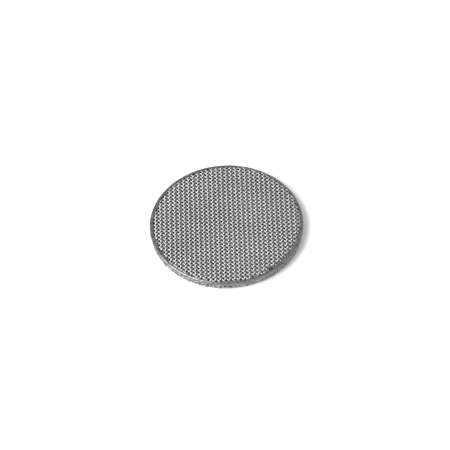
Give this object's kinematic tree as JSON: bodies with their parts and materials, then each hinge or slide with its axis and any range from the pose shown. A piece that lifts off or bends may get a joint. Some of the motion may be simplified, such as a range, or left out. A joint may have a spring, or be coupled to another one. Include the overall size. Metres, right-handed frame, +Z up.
{
  "type": "burner gauze pack",
  "caption": "Flat round pack of plain-woven wire gauzes for a burner, with a pressed rim rolled over at the top edge and raw wire ends below it.",
  "frame": {"origin": "centre of the underside, on the plane that the pack rests on", "axes": "+Z up through the disc towards the face gauze, +X along the weft wires of the face, +Y along its warp wires"},
  "size_m": [0.09, 0.09, 0.0055],
  "materials": {
    "face_wire": "drawn stainless wire with pressed, lightly scuffed knuckles",
    "core_wire": "drawn stainless wire, duller between the layers",
    "back_wire": "drawn stainless wire with sheared ends",
    "fine_wire": "fine woven stainless wire, dark and matt",
    "rim": "pressed and rolled steel, smeared smooth by the punch",
    "weld": "fused steel, darkened by heat"
  },
  "bodies": {
    "root": {"back_weft": "back_wire", "back_warp": "back_wire", "lower_fine_weft": "fine_wire", "lower_fine_warp": "fine_wire", "core_weft": "core_wire", "core_warp": "core_wire", "upper_fine_weft": "fine_wire", "upper_fine_warp": "fine_wire", "face_weft": "face_wire", "face_warp": "face_wire", "pressed_rim": "rim", "tack_weld": "weld"}
  },
  "joints": []
}
